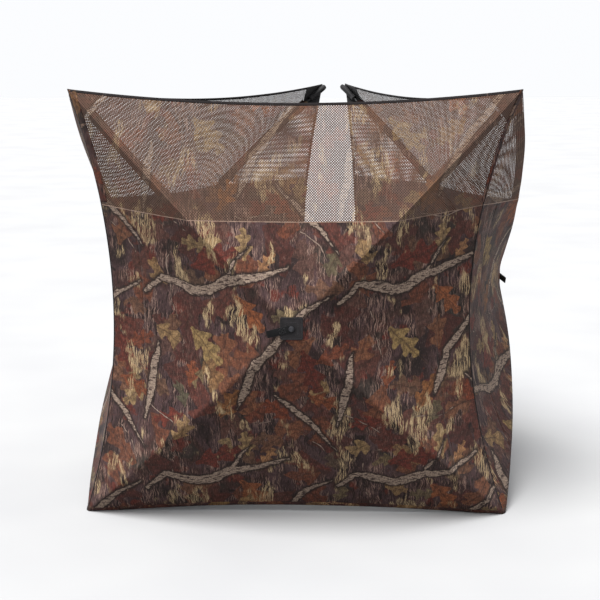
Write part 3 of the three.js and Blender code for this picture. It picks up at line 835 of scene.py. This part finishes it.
def hub_blend(piece, wall, facet):
    """Works out where a facet's blend from the wall to the hub would run: from HUB_START out, which on
    the top and bottom facets is taken where the creases reach it, so that both sides of a crease would
    start alike, in to the flat square at the hub. Nothing uses this; the piece only has its transform
    baked into its mesh."""
    if facet in ("left", "right"):
        end = -1 if facet == "left" else 1
        start, stop = (end * HUB_START, 0, HUB_Z), (end * FLAT, 0, HUB_Z)
    else:
        up = 1 if facet == "top" else -1
        heights = []
        for end in (-1, 1):
            c, f = wall.corner(end, up), wall.flat_corner(end, up)
            share = (HUB_START - FLAT) / (abs(c[0]) - FLAT)
            heights.append(f[1] + (c[1] - f[1]) * share)
        start, stop = (0, 0, sum(heights) / 2), (0, 0, HUB_Z + up * FLAT)
    row = wall.row([start, stop])
    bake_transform(piece)


TURNS = {
    "left_corner": (left_hinge, LEFT_SIDE.half, 1, "left_wall"),
    "right_corner": (right_hinge, RIGHT_SIDE.half, -1, "right_wall"),
}


def corner_blend(piece):
    """Bakes the transform of a piece that lies over a shared corner, on the strips of width GUSSET in
    each wall, into its mesh; nothing turns it from the front wall to the side wall."""
    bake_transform(piece)


FACETS = ["bottom", "right", "top", "left", "top"]  # by Wall.facet's number


def wall_sheet(wall, net):
    """The wall's sheet below or above the seam, cut along its creases, edges and corner strips.
    Returns points in (u, v), faces and, for each face, a key: a facet's name or a corner's."""
    reach = HALF + FLARE + CELL
    ends = [(-1, wall.left), (1, wall.right)]
    keep = [lambda u, v, e=e, s=s: s.reach(v) - e * u for e, s in ends]
    if net:
        points, faces = net_lattice((-reach, SEAM_Z - SEAM_SAG - CELL), (reach, HEIGHT + CELL))
        keep += [lambda u, v: v - wall.seam(u), lambda u, v: wall.hem(u, 1) - v]
    else:
        points, faces = cloth_grid((-reach, 0.0), (reach, SEAM_Z + CELL), CELL)
        keep += [lambda u, v: wall.seam(u) - v, lambda u, v: v - np.maximum(wall.hem(u, -1), LOW)]
    for level in keep:
        points, faces = split(points, faces, level)
        m = centres(points, faces)
        faces = [f for f, k in zip(faces, level(m[:, 0], m[:, 1]) > 0) if k]

    # Cuts: a line, and which faces lie near enough to be cut by it.
    cuts = []
    for e, w in CORNERS.values():
        crease = lambda u, v, e=e, w=w: wall.crease_side(u, v, e, w)
        cuts.append((crease, lambda m, e=e, w=w: (m[:, 0] * e > 0) & ((m[:, 1] - HUB_Z) * w > -CELL)))
    for e, side in ends:
        if side.shared:
            strip = lambda u, v, e=e, s=side: s.reach(v) - GUSSET - e * u
            cuts.append((strip, lambda m, e=e: m[:, 0] * e > HALF / 2))
    if not net:
        near = lambda m: np.hypot(m[:, 0], m[:, 1] - HUB_Z) < 3 * FLAT
        for e in (-FLAT, FLAT):
            cuts += [(lambda u, v, e=e: u - e, near), (lambda u, v, e=e: v - HUB_Z - e, near)]
        cuts.append((lambda u, v: wall.seam(u) - SEAM_TAPE - v, lambda m: m[:, 1] > 1))
    for level, near in cuts:
        where = near(centres(points, faces))
        rest = [f for f, k in zip(faces, where) if not k]
        points, cut = split(points, [f for f, k in zip(faces, where) if k], level)
        faces = rest + cut
    m = centres(points, faces)
    keys = [FACETS[k] for k in wall.facet(m[:, 0], m[:, 1])]
    for end, side in ends:
        if side.shared:
            gusset = side.reach(m[:, 1]) - GUSSET < end * m[:, 0]
            name = "left_corner" if side is LEFT_SIDE else "right_corner"
            keys = [name if g else k for g, k in zip(gusset, keys)]
    return points, faces, keys


def area_of(points, faces):
    fans = np.array([(f[0], f[k], f[k + 1]) for f in faces for k in range(1, len(f) - 1)])
    a, b, c = (points[fans[:, k]] for k in range(3))
    return float(np.linalg.norm(np.cross(b - a, c - a), axis=1).sum() / 2)


def declare(points, faces):
    """Works out the size that a stretched sheet is stretched over: the outline of where it lies, made
    larger if that is less than the sheet's own area, which is taken as LEAST_AREA of the outline or
    more. The sizes are not kept."""
    span = np.ptp(points, axis=0)
    width, length = float(math.hypot(span[0], span[1])), float(span[2])
    area = area_of(points, faces)
    while width * length < area:
        width, length = width * 1.05, length * 1.05
    area = max(area, LEAST_AREA * width * length)


def cloth_piece(name, points, faces, uv, edge, rests):
    """A double-faced sheet of the printed cloth, with the seam's light stitching along its top."""
    both, solid, panel_uv, index = layered(points, faces, uv, CLOTH_THICKNESS, 0, 1)
    index[: len(faces)] = [2 if e else 0 for e in edge]
    piece = make_mesh(name, both, solid, panel_uv, [CLOTH, INSIDE, THREAD], index)
    declare(points, faces)
    return placed(piece)


def net_piece(name, points, faces, uv, edge, rests):
    piece = make_mesh(name, points, faces, uv, [NET])
    declare(points, faces)
    return placed(piece)


def build_sheets():
    """Every wall's cloth and netting, by facet, and the strips that turn over shared corners."""
    strips = {}
    for wall in WALLS:
        rests = [f"{wall.name}_{corner}_pole" for corner in CORNERS]
        for kind, make in (("cloth", cloth_piece), ("netting", net_piece)):
            points, faces, keys = wall_sheet(wall, kind == "netting")
            for key in sorted(set(keys)):
                own, own_faces = used(points, [f for f, k in zip(faces, keys) if k == key])
                middles = centres(own, own_faces)
                edge = middles[:, 1] > wall.seam(middles[:, 0]) - SEAM_TAPE
                part = (wall.lift(own), own_faces, own + np.array(wall.print_shift), edge, rests)
                if key in TURNS:
                    strips.setdefault((key, kind, make), []).append(part)
                    continue
                piece = make(f"{wall.name}_{kind}_{key}", *part)
                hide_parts(f"{wall.name}_{kind}")
                hub_blend(piece, wall, key)
    for (key, kind, make), parts in strips.items():
        points, faces, uv = joined([p[:3] for p in parts])
        edge = np.concatenate([p[3] for p in parts])
        piece = make(f"{key}_{kind}", points, faces, uv, edge, parts[0][4] + parts[1][4])
        corner_blend(piece)


# ---- sewn trim
def round_section(radius, sides):
    turn = np.linspace(0, 2 * math.pi, sides, endpoint=False)
    return np.stack([radius * np.cos(turn), radius * np.sin(turn)], axis=1)


def edge_points(wall, end, low, high, count, inset=0.0):
    """Places (u, v) along one end of a wall, from v = low to high."""
    v = np.linspace(low, high, count)
    return np.stack([end * (wall.side(end).reach(v) - inset), v], axis=1)


def binding(wall, uv, width):
    """A folded tape over a raw edge of the sheet, as a flattened tube along it."""
    path = wall.lift(uv)
    out = unit(wall.lift(uv, 0.01) - path)
    turn = np.linspace(0, 2 * math.pi, 12, endpoint=False)
    x, y = (np.sign(f) * np.abs(f) ** 0.6 for f in (np.cos(turn), np.sin(turn)))
    section = np.stack([x * width / 2, y * BINDING_THICKNESS / 2], axis=1)
    return sweep(path, unit(np.cross(tangents(path), out)), out, section)


def hem_binding(wall, up, start, stop, count):
    """The binding of the top edge (up = 1) or the hem of the bottom edge, from u = start to stop."""
    width = BINDING_WIDTH if up > 0 else HEM_WIDTH
    u = np.linspace(start, stop, count)
    v = wall.hem(u, up)
    uv = np.stack([u, v if up > 0 else np.maximum(v, LOW)], axis=1)
    uv[:, 1] -= up * width * EDGE_COVER
    return binding(wall, uv, width)


def trim_piece(name, parts, material):
    points, faces, uv = joined(parts)
    return placed(make_mesh(name, points, faces, uv, [material]))


def thickened(part):
    """A part of a sheet given the cloth's thickness, its face turned away from the blind's middle."""
    points, faces, uv = part
    f = faces[len(faces) // 2]
    n = np.cross(points[f[1]] - points[f[0]], points[f[2]] - points[f[0]])
    if np.dot(n, points[f[0]] * [1, 1, 0]) < 0:
        faces = [list(reversed(g)) for g in faces]
    return layered(points, faces, uv, CLOTH_THICKNESS, 0, 0)[:3]


def edge_strip(wall, end, width):
    """The printed tape over the netting's end at a shared corner, thinner at its two edges."""
    uv = edge_points(wall, end, wall.seam(end * HALF), HEIGHT - 0.004, 60)
    places, points = [], []
    for share, drop in ((0.0, 0.0006), (0.04, 0.0), (0.5, 0.0), (0.96, 0.0), (1.0, 0.0006)):
        places.append(uv + np.array([-end, 0.0]) * width * share)
        points.append(wall.lift(places[-1], EDGE_STRIP_LIFT - drop))
    faces = grid_faces(len(uv), len(points))
    places = np.stack(places, axis=1).reshape(-1, 2) + np.array(wall.print_shift) + EDGE_STRIP_SHIFT
    return thickened((np.stack(points, axis=1).reshape(-1, 3), faces, places))


# The edge's label, which edge (1 top, -1 bottom), material and slot.
HEMS = [("top_binding", 1, TAPE, "webbing"), ("bottom_hem", -1, EDGE, "camo_cloth")]


def build_edges():
    """Bindings, hems, printed strips and piping along the walls' edges."""
    for key, ends in SHARED_ENDS.items():
        strips = [edge_strip(wall, end, EDGE_STRIPS[key]) for wall, end in ends]
        corner_blend(trim_piece(f"{key}_edge_strip", strips, EDGE))
        for label, up, cloth, slot in HEMS:
            parts = []
            for wall, end in ends:
                tip = wall.side(end).reach(HEIGHT if up > 0 else 0.0)
                start, stop = end * (tip - 0.001), end * (tip - GUSSET + 0.002)
                parts.append(hem_binding(wall, up, start, stop, 12))
            corner_blend(trim_piece(f"{key}_{label}", parts, cloth))
        wall, end = ends[0]
        path = wall.lift(edge_points(wall, end, LOW, HEIGHT - 0.003, 80))
        across, out = (np.tile([axis], (len(path), 1)) for axis in ((1.0, 0.0, 0.0), (0.0, 1.0, 0.0)))
        cord = sweep(path, across, out, round_section(PIPING_RADIUS, 8))
        corner_blend(trim_piece(f"{key}_piping", [cord], TAPE))
    for wall in WALLS:
        for label, up, cloth, slot in HEMS:
            level = HEIGHT if up > 0 else 0.0
            sides = ((end, wall.side(end)) for end in (-1, 1))
            low, high = (e * (s.reach(level) - (GUSSET if s.shared else 0.002)) for e, s in sides)
            parts = [hem_binding(wall, up, low, high, 80)]
            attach(trim_piece(f"{wall.name}_{label}", parts, cloth), wall.body)
    for wall, end in REAR_ENDS:
        uv = edge_points(wall, end, LOW + 0.004, HEIGHT - 0.004, 90, BINDING_WIDTH * EDGE_COVER)
        parts = [binding(wall, uv, BINDING_WIDTH)]
        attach(trim_piece(f"{wall.name}_rear_binding", parts, TAPE), wall.body)


def corner_patch(wall, end):
    """A triangle of cloth in an upper corner, as (points, faces, uv)."""
    side, n, edge = wall.side(end), 14, 0.001
    index, uv = {}, []
    for i in range(n + 1):
        for j in range(n + 1 - i):
            s, t = PATCH_REACH * i / n, PATCH_REACH * j / n
            v = wall.hem(end * (side.reach(HEIGHT) - s), 1) - t - edge
            index[i, j] = len(uv)
            uv.append((end * (side.reach(v) - s - edge), v))
    faces = []
    for i, j in index:
        if (i + 1, j) in index and (i, j + 1) in index:
            faces.append([index[i, j], index[i + 1, j], index[i, j + 1]])
        if (i + 1, j + 1) in index:
            faces.append([index[i + 1, j], index[i + 1, j + 1], index[i, j + 1]])
    uv = np.array(uv)
    places = uv + np.array(wall.print_shift) + CORNER_PRINT_SHIFT
    return thickened((wall.lift(uv, PATCH_LIFT), faces, places))


def build_corner_patches():
    for key, ends in SHARED_ENDS.items():
        parts = [corner_patch(wall, end) for wall, end in ends]
        corner_blend(trim_piece(f"{key}_reinforcement", parts, CORNER_PRINT))
    for wall, end in REAR_ENDS:
        name = f"{wall.name}_rear_reinforcement"
        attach(trim_piece(name, [corner_patch(wall, end)], POCKET), wall.body)


# ---- poles, sleeves and pockets
def pole_point(wall, corner, t):
    """A pole's centre line in the wall's own coordinates (u, y, v), t from 0, tip, to 1, hub."""
    end, up = CORNERS[corner]
    side = wall.side(end)
    z = HEIGHT if up > 0 else 0.0
    half = side.half if side.shared else math.pi / 4
    inset = SHARED_INSET if side.shared else FREE_INSET
    root = np.array([end * (side.reach(z) - inset * math.cos(half)),
                     side.depth(z) + inset * math.sin(half),
                     z - up * CLEARANCE])
    hub = np.array([0.0, RING_DEPTH - HUB_REACH, HUB_Z])
    sideways = unit(np.array([root[0], 0.0, root[2] - HUB_Z]))
    last = hub + sideways * POLE_END
    first = root + unit(last - root) * POLE_GAP
    middle_point = (first + last) / 2 - np.array([0.0, 2 * BOW, 0.0])
    t = np.reshape(t, (-1, 1))
    return (1 - t) ** 2 * first + 2 * t * (1 - t) * middle_point + t**2 * last


def pole_frame(path):
    along = tangents(path)
    across = unit(np.cross(along, [0.0, -1.0, 0.0]))
    return across, unit(np.cross(across, along))


TIP, FERRULE, EYE = (-1, 0.028), (0.475, 0.525), (0.9725, 2)  # along a pole, from tip to hub


def pole_piece(wall, corner):
    """The rod, with a metal tip, a joining ferrule and the moulded eye at its hub end."""
    sides = 14
    t = np.array([0, 0.001, 0.028, 0.0285, *np.linspace(0.05, 0.46, 9), 0.4745, 0.475, 0.525, 0.5255,
                  *np.linspace(0.56, 0.95, 9), 0.972, 0.9725, 0.998, 1.0])
    local = pole_point(wall, corner, t)
    radius = np.full(len(t), POLE_RADIUS)
    for (start, stop), extra in ((TIP, 0.0006), (FERRULE, 0.0010), (EYE, 0.0008)):
        radius[(t >= start) & (t <= stop)] = POLE_RADIUS + extra
    radius[[0, -1]] -= 0.0008
    sections = round_section(1.0, sides)[None] * radius[:, None, None]
    points, faces, uv = sweep(local, *pole_frame(local), sections)
    steel = np.repeat((t <= TIP[1]) | ((t >= FERRULE[0]) & (t <= FERRULE[1])), sides)
    piece = make_mesh(f"{wall.name}_{corner}_rod", wall.row(points), faces, uv, [FIBREGLASS, STEEL],
                      [all(steel[f]) for f in faces])
    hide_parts(f"{wall.name}_{corner}_pole")
    placed(piece)
    hub_blend(piece, wall, "left" if CORNERS[corner][0] < 0 else "right")


def sleeve_half(wall, corner, toward):
    """Half of a sleeve: a flat tape inside the sheet and half of the tunnel round the pole.
    toward is 1 for the half in the side facet and -1 for the one in the top or bottom facet."""
    end, up = CORNERS[corner]
    steps = 64
    local = pole_point(wall, corner, np.linspace(0.075, 0.94, steps))
    c, f = wall.corner(end, up), wall.flat_corner(end, up)
    along = unit(f - c)
    normal = np.array([-along[1], along[0]]) * (end * up) * toward
    at = local[:, [0, 2]]
    crease = c + along * ((at - c) @ along)[:, None]
    # Out under the sheet from the crease to the tape's edge, back below it, then round the pole.
    lines = []
    for w in (0.0, SLEEVE_STITCH, SLEEVE_HALF * 0.45, SLEEVE_HALF * 0.8, SLEEVE_HALF):
        lines.append(wall.lift(crease + normal * w, -SLEEVE_DEPTH))
    for w, depth in ((SLEEVE_HALF, 0.0027), (SLEEVE_HALF * 0.55, 0.0029)):
        lines.append(wall.lift(crease + normal * w, -depth))
    side_on, inward = np.array([normal[0], 0.0, normal[1]]), np.array([0.0, 1.0, 0.0])
    for a in np.radians((0, 25, 50, 75, 90)):
        ruck = 1 + 0.05 * np.sin(np.linspace(0, 70, steps) + 2 * a)
        ease = SLEEVE_RADIUS * ruck[:, None]
        lines.append(wall.row(local + side_on * math.cos(a) * ease + inward * math.sin(a) * ease))
    k = len(lines)
    index = [int(i == 0) for _ in range(steps - 1) for i in range(k - 1)]  # thread by the crease
    widths = np.array([0, 0.001, 0.009, 0.016, 0.020, 0.021, 0.030, 0.036, 0.040, 0.044, 0.048, 0.052])
    run = np.linspace(0, np.linalg.norm(local[-1] - local[0]), steps)
    uv = np.stack([np.tile(widths * toward, steps), np.repeat(run, k)], axis=1)
    uv[:, 0] += 0.17 * end + 0.4
    uv[:, 1] += 0.23 * up + wall.print_shift[1]
    label = ("right" if end > 0 else "left") if toward > 0 else ("top" if up > 0 else "bottom")
    points = np.stack(lines, axis=1).reshape(-1, 3)
    piece = make_mesh(f"{wall.name}_{corner}_tunnel_{label}", points, grid_faces(steps, k), uv,
                      [SLEEVE, THREAD], index)
    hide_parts(f"{wall.name}_{corner}_sleeve")
    placed(piece)
    hub_blend(piece, wall, label)


# A pocket's profile: places along the pole from its tip, and shares of POCKET_RADIUS there.
CUP_RISE = [-0.0258, -0.0252, -0.0235, -0.020, -0.014, -0.004, 0.008, 0.020, 0.032, 0.044, 0.053,
            0.0535, 0.061, 0.062, 0.0622]
CUP_SIZE = [0.10, 0.45, 0.70, 0.86, 0.97, 1.0, 1.0, 0.98, 0.97, 0.95, 0.93, 1.03, 1.03, 0.98, 0.6]


def pocket_cup(wall, corner, seed):
    """One sewn cup over a pole's tip, with the fold of its closed end and a bound mouth."""
    local = pole_point(wall, corner, [0.0, 0.06])
    rise, size = np.array(CUP_RISE)[:, None], np.array(CUP_SIZE)[:, None]
    path = local[0] + unit(local[1] - local[0]) * rise
    turn = np.linspace(0, 2 * math.pi, 28, endpoint=False)
    folds = 0.035 * np.sin(5 * turn[None] + seed + 60 * rise)
    folds += 0.025 * np.sin(9 * turn[None] - 2 * seed + 110 * rise)
    radius = POCKET_RADIUS * size * (1 + folds - 0.04)
    sections = np.stack([radius * np.cos(turn), radius * np.sin(turn)], axis=2)
    points, faces, uv = sweep(path, *pole_frame(path), sections)
    points = wall.row(points)
    points[:, 2] = np.maximum(points[:, 2], 0.0)
    return points, faces, uv


def build_pockets():
    """The cups of every corner pocket: two at a shared corner, one at a rear corner."""
    homes = {}
    for wall in WALLS:
        for corner, (end, up) in CORNERS.items():
            side = wall.side(end)
            level = "upper" if up > 0 else "lower"
            place = ("left" if side is LEFT_SIDE else "right") if side.shared else wall.name
            name = f"{'front' if side.shared else 'rear'}_{place}_{level}_pocket"
            homes.setdefault(name, []).append((wall, corner))
    for number, (name, cups) in enumerate(homes.items()):
        parts = [pocket_cup(w, c, 1.3 * number + 0.7 * k) for k, (w, c) in enumerate(cups)]
        piece = trim_piece(f"{name}_cup", parts, POCKET)
        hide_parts(name)
        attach(piece, "front_wall" if name.startswith("front") else cups[0][0].body)


# ---- hubs
PATCH_HALF = 0.037  # half the width of the square patch
# Rings of the patch, from the sheet outwards: level below its outer face, and how much smaller.
PATCH_RINGS = [(0.0014, 0.01), (0.0012, 0), (0.0004, 0), (0, 0.02), (-0.0001, 0.07), (0.0004, 0.10),
               (0.0003, 0.13), (0, 0.35)]
STRAP_REACH, STRAP_LENGTH = 0.0125, 0.094  # from the bolt to the rounded end, and to the far end
STRAP_WIDTH = 0.0235
STRAP_DROOP = math.radians(14)
# Rings of the strap, the same way: two layers of webbing with a groove between them.
STRAP_RINGS = [(0.003, 0.03), (0.0029, 0.01), (0.0024, 0), (0.00165, 0), (0.0015, 0.02), (0.00135, 0),
               (0.0006, 0), (0.0001, 0.01), (0, 0.03)]
OUT = np.array([0.0, 0.0, 1.0])  # in a hub's own frame


def on_hub(wall, xyz):
    """Points of the hub's own frame (along the wall, up, outwards) in the row frame."""
    x, y, z = np.atleast_2d(xyz).T
    return wall.row(np.stack([x, -HUB_REACH - z, HUB_Z + y], axis=1))


def outer_level(node, wall):
    """How far a hub piece's outer face stands out from the middle of the sheet."""
    own = frame["nodes"][node]
    here = np.array([v.co for v in own.data.vertices], float) - wall.row([[0, -HUB_REACH, HUB_Z]])
    out = wall.row([[0, -1, 0]]) - wall.row([[0, 0, 0]])
    return float((here @ out.T).max())


def slab(outline, top, rings):
    """A thin, soft-edged piece with an outline, as rings of (level below top, how much smaller)."""
    k = len(outline)
    points = [np.column_stack([outline * (1 - s), np.full(k, top - low)]) for low, s in rings]
    ends = [list(reversed(range(k))), [(len(rings) - 1) * k + c for c in range(k)]]
    return np.vstack(points), grid_faces(len(rings), k, ring=True) + ends


def rounded_square(half, corner_radius, per_corner=6):
    points = []
    for quarter in range(4):
        diagonal = math.pi / 2 * (quarter + 0.5)
        centre = np.sign([math.cos(diagonal), math.sin(diagonal)]) * (half - corner_radius)
        for step in range(per_corner):
            a = math.pi / 2 * (quarter + step / (per_corner - 1))
            points.append(centre + corner_radius * np.array([math.cos(a), math.sin(a)]))
    return np.array(points)


def stitch(place, direction, length=0.0032, radius=0.00045):
    """One short stitch of thread, arched over its middle."""
    arch = np.array([-1, -0.6, 0, 0.6, 1]) * length / 2
    height = np.array([-0.6, 0.5, 0.9, 0.5, -0.6]) * radius
    path = place + arch[:, None] * direction + height[:, None] * OUT
    n = len(path)
    side = np.cross(direction, OUT)
    return sweep(path, np.tile(side, (n, 1)), np.tile(OUT, (n, 1)), round_section(radius, 6))


def stitch_line(outline, level, closed=True, pitch=0.0048):
    """Stitches at an even pitch along a line of (x, y) points, at one level."""
    loop = np.vstack([outline, outline[:1]]) if closed else np.asarray(outline)
    run = np.r_[0, np.cumsum(np.linalg.norm(np.diff(loop, axis=0), axis=1))]
    count = int(run[-1] / pitch)
    at = (np.arange(count) + 0.5) * run[-1] / count
    x, y = (np.interp(at, run, loop[:, i]) for i in (0, 1))
    ahead = [np.interp(np.minimum(at + 0.001, run[-1]), run, loop[:, i]) for i in (0, 1)]
    direction = unit(np.stack([ahead[0] - x, ahead[1] - y, np.zeros(count)], axis=1))
    places = np.stack([x, y, np.full(count, level)], axis=1)
    return joined([stitch(p, d) for p, d in zip(places, direction)])


def hub_piece(name, wall, part, material, body, node=None):
    """A piece from (points, faces, uv) in the hub's own frame, in place of a CAD node if named."""
    points, faces, uv = part
    piece = make_mesh(name, on_hub(wall, points), faces, uv, [material])
    if node:
        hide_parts(node)
    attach(placed(piece), body)


def hub_patch(wall):
    """The square patch on the cloth, with two rounds of stitches."""
    node = f"{wall.name}_hub_patch"
    top = outer_level(node, wall)
    points, faces = slab(rounded_square(PATCH_HALF, 0.006), top, PATCH_RINGS)
    part = points, faces, points[:, :2] + 0.5
    hub_piece(f"{wall.name}_patch", wall, part, PATCH, wall.hub, node)
    rounds = [stitch_line(rounded_square(PATCH_HALF * s, 0.005), top + 0.0001) for s in (0.885, 0.55)]
    hub_piece(f"{wall.name}_patch_stitches", wall, joined(rounds), BLACK_THREAD, wall.hub)


def drooped(p):
    """Points of the strap turned from level to the way that it hangs."""
    c, s = math.cos(STRAP_DROOP), math.sin(STRAP_DROOP)
    return np.stack([c * p[:, 0] - s * p[:, 1], s * p[:, 0] + c * p[:, 1], p[:, 2]], axis=1)


def pull_strap(wall):
    """Webbing folded double, held by the bolt at one end and box-stitched beside it."""
    node, body = f"{wall.name}_pull_strap", f"{wall.name}_strap"
    top = outer_level(node, wall)
    turn = np.linspace(-math.pi / 2, math.pi / 2, 9)
    near = np.stack([np.cos(turn) * STRAP_REACH * 0.9, np.sin(turn) * STRAP_WIDTH / 2], axis=1)
    far = np.array([(0.016, STRAP_WIDTH / 2), (0.0125, STRAP_WIDTH / 2 - 0.0006)])
    far[:, 0] -= STRAP_LENGTH
    far = np.vstack([far, far[::-1] * [1, -1]])
    share = np.linspace(0, 1, 16)[1:-1, None]
    up_edge, down_edge = near[-1] + (far[0] - near[-1]) * share, far[-1] + (near[0] - far[-1]) * share
    points, faces = slab(np.vstack([near, up_edge, far, down_edge]), top, STRAP_RINGS)
    sag = np.clip(-points[:, 0] - 0.02, 0, 1)
    points[:, 2] += 0.0006 * np.sin(60 * points[:, 0]) * (sag > 0) - 0.03 * sag**1.5
    points[:, 2] = np.maximum(points[:, 2], top - STRAP_RINGS[0][0] - 0.0002)  # a floor under the sag
    part = drooped(points), faces, points[:, :2] + 0.5
    hub_piece(f"{wall.name}_strap", wall, part, WEBBING, body, node)
    box = np.array([(-0.040, -0.008), (-0.022, -0.008), (-0.022, 0.008), (-0.040, 0.008)])
    lines = [stitch_line(box, top), *(stitch_line(box[i::2], top, closed=False) for i in (0, 1))]
    points, faces, uv = joined(lines)
    part = drooped(points), faces, uv
    hub_piece(f"{wall.name}_strap_stitches", wall, part, BLACK_THREAD, body)


def finish_hubs():
    """New materials for the hub pieces that stay as the CAD made them, then patches and straps."""
    finishes = {"hub_body": HUB_PLASTIC, "hub_cap": HUB_PLASTIC, "pivot_ring": STEEL, "hub_bolt": STEEL}
    for wall in WALLS:
        for label, finish in finishes.items():
            node = frame["nodes"][f"{wall.name}_{label}"]
            for held in node.material_slots:
                held.material = finish
        hub_patch(wall)
        pull_strap(wall)


build_sheets()
build_edges()
build_corner_patches()
for wall in WALLS:
    for corner in CORNERS:
        pole_piece(wall, corner)
        for toward in (1, -1):
            sleeve_half(wall, corner, toward)
build_pockets()
finish_hubs()


# ---- floor, light and camera
def add_floor():
    mesh = bpy.data.meshes.new("floor")
    reach = 60.0
    corners = [(-reach, -reach, 0), (reach, -reach, 0), (reach, reach, 0), (-reach, reach, 0)]
    mesh.from_pydata(corners, [], [(0, 1, 2, 3)])
    floor = bpy.data.objects.new("floor", mesh)
    bpy.context.scene.collection.objects.link(floor)
    m, g, bsdf = material("floor_paint", 0.9, specular=0.1)
    tone = g.noise(g.add("ShaderNodeTexCoord").outputs["Object"], 1.2, 2.0)[0]
    g.put(bsdf["Base Color"], g.ramp(tone, (0.3, (158, 158, 159)), (0.7, (164, 164, 164))))
    mesh.materials.append(m)


def add_sun(name, direction, strength):
    """A broad, far softbox, so that the floor is lit evenly."""
    light = bpy.data.lights.new(name, "SUN")
    light.energy, light.angle = strength, math.radians(35)
    lamp = bpy.data.objects.new(name, light)
    lamp.rotation_euler = Vector(direction).to_track_quat("Z", "Y").to_euler()
    bpy.context.scene.collection.objects.link(lamp)


def add_camera():
    """The view fitted to the photograph, a little closer."""
    closer = 0.992
    data = bpy.data.cameras.new("camera")
    data.lens, data.sensor_width = 79.0, 36.0
    camera = bpy.data.objects.new("camera", data)
    camera.location = (middle.x + 0.131 * closer, middle.y - 4.499 * closer, 1.579 * closer + LIFT)
    camera.rotation_euler = (math.pi / 2 - 0.176, 0, 0.025)
    bpy.context.scene.collection.objects.link(camera)
    bpy.context.scene.camera = camera


add_floor()
add_camera()
add_sun("key", (-1.6, -2.2, 5.5), 6.3)
world = bpy.data.worlds.new("studio")
world.use_nodes = True
world.node_tree.nodes["Background"].inputs["Color"].default_value = (0.97, 0.98, 1.0, 1.0)
world.node_tree.nodes["Background"].inputs["Strength"].default_value = 1.0
scene = bpy.context.scene
scene.world = world
scene.view_settings.view_transform = "Standard"
